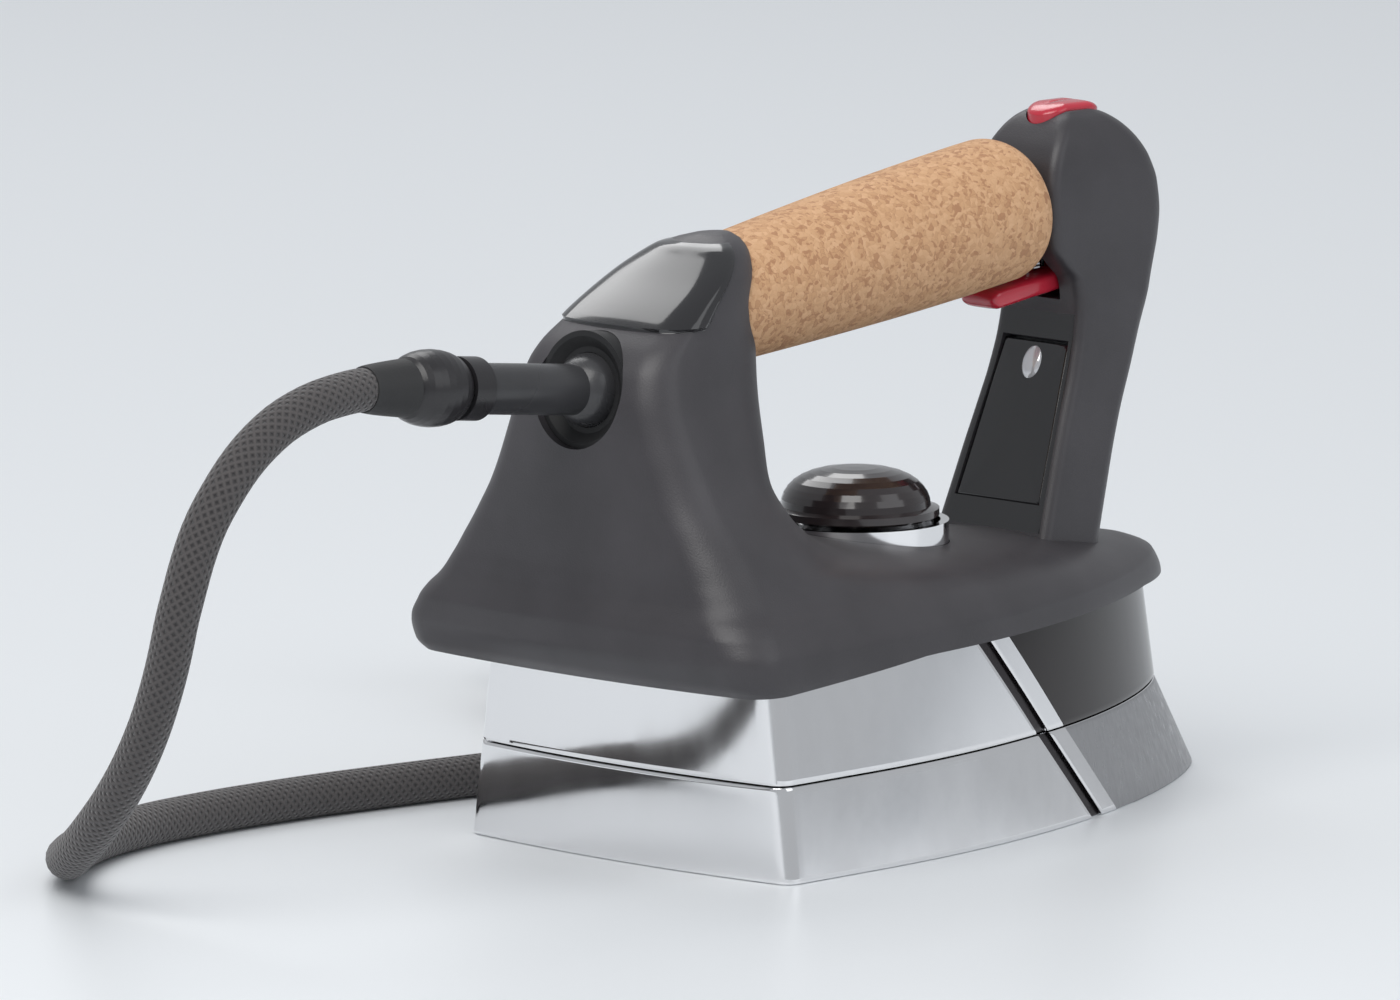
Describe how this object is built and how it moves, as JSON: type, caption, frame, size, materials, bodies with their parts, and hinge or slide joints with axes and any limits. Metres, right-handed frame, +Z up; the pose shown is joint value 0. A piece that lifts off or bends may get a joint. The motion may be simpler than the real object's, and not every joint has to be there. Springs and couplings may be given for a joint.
{
  "type": "clothes iron",
  "caption": "Steam station clothes iron with a polished soleplate, dark housing, tall heel, cork grip, trigger, steam button, thermostat dial and a coiled steam hose.",
  "frame": {"origin": "centre of the sole's flat face, midway along its length", "axes": "+X towards the nose, +Y to the iron's left, +Z up from the sole"},
  "size_m": [0.4139, 0.2739, 0.1792],
  "materials": {
    "polished_metal": "mirror polished casting and plated sheet",
    "bright_metal": "machined",
    "steel": "zinc plated",
    "housing_plastic": "satin moulded, charcoal",
    "gloss_black": "gloss moulded",
    "red_plastic": "gloss moulded, red",
    "cork": "fine agglomerated cork, sanded",
    "white_plastic": "moulded",
    "lens": "clear, frosted behind",
    "insulation": "mica board",
    "gasket_rubber": "silicone",
    "black_rubber": "moulded",
    "brass": "turned",
    "pipe": "silicone pipe",
    "hose_fabric": "braided textile cover",
    "strap": "woven hook-and-loop strap"
  },
  "bodies": {
    "root": {"soleplate": "polished_metal", "heating_element": "steel", "chamber_gasket": "gasket_rubber", "chamber_cover": "bright_metal", "chamber_screws": "steel", "steam_inlet": "brass", "thermostat": "white_plastic", "thermal_fuse": "white_plastic", "support_posts": "bright_metal", "mounting_studs": "steel", "insulation_plate": "insulation", "skirt": "polished_metal", "nose_cover": "gloss_black", "housing": "housing_plastic", "heel_panel": "gloss_black", "terminal_block": "white_plastic", "steam_pipe": "pipe", "handle_wires": "gasket_rubber", "core_flange": "steel", "handle_core": "bright_metal", "cork_grip": "cork", "front_pillar": "housing_plastic", "pillar_cover": "gloss_black", "pillar_screws": "steel", "indicator_lens": "lens", "indicator_lamp": "white_plastic", "trigger_pin": "steel", "trigger_spring": "steel", "trigger_switch": "gloss_black", "button_spring": "steel", "button_switch": "gloss_black", "dial_seat": "polished_metal", "swivel_socket": "gloss_black", "swivel_seal": "black_rubber", "steam_hose": "hose_fabric", "hose_coil": "hose_fabric", "hose_tail": "hose_fabric", "hose_tie": "strap", "hose_connector": "gloss_black", "connector_spigot": "brass", "connector_pins": "brass", "connector_ring": "bright_metal"},
    "trigger_body": {"trigger": "red_plastic"},
    "button_body": {"steam_button": "red_plastic"},
    "dial_body": {"dial": "gloss_black", "thermostat_shaft": "steel"},
    "swivel_body": {"swivel_arm": "housing_plastic", "swivel_collar": "gloss_black", "swivel_knob": "gloss_black"}
  },
  "joints": [
    {"name": "trigger_pull", "type": "hinge", "parent": "root", "child": "trigger_body", "pos_m": [0.05645, 0, 0.13619], "axis": [0, 1, 0], "range_deg": [0, 5], "stiffness_Nm_per_rad": 0.6, "springref_deg": -17.19, "deforming": ["trigger_spring"]},
    {"name": "button_press", "type": "slide", "parent": "root", "child": "button_body", "axis": [0, 0, -1], "range_m": [0, 0.002], "stiffness_N_per_m": 400, "springref_m": -0.002, "deforming": ["button_spring"]},
    {"name": "dial_turn", "type": "hinge", "parent": "root", "child": "dial_body", "pos_m": [-0.022, 0, 0.0786], "axis": [0, 0, 1], "range_deg": [0, 270]},
    {"name": "hose_swivel", "type": "hinge", "parent": "root", "child": "swivel_body", "pos_m": [-0.119, 0, 0.1218], "axis": [-0.9936, 0, 0.1132], "range_deg": [-170, 170]}
  ]
}
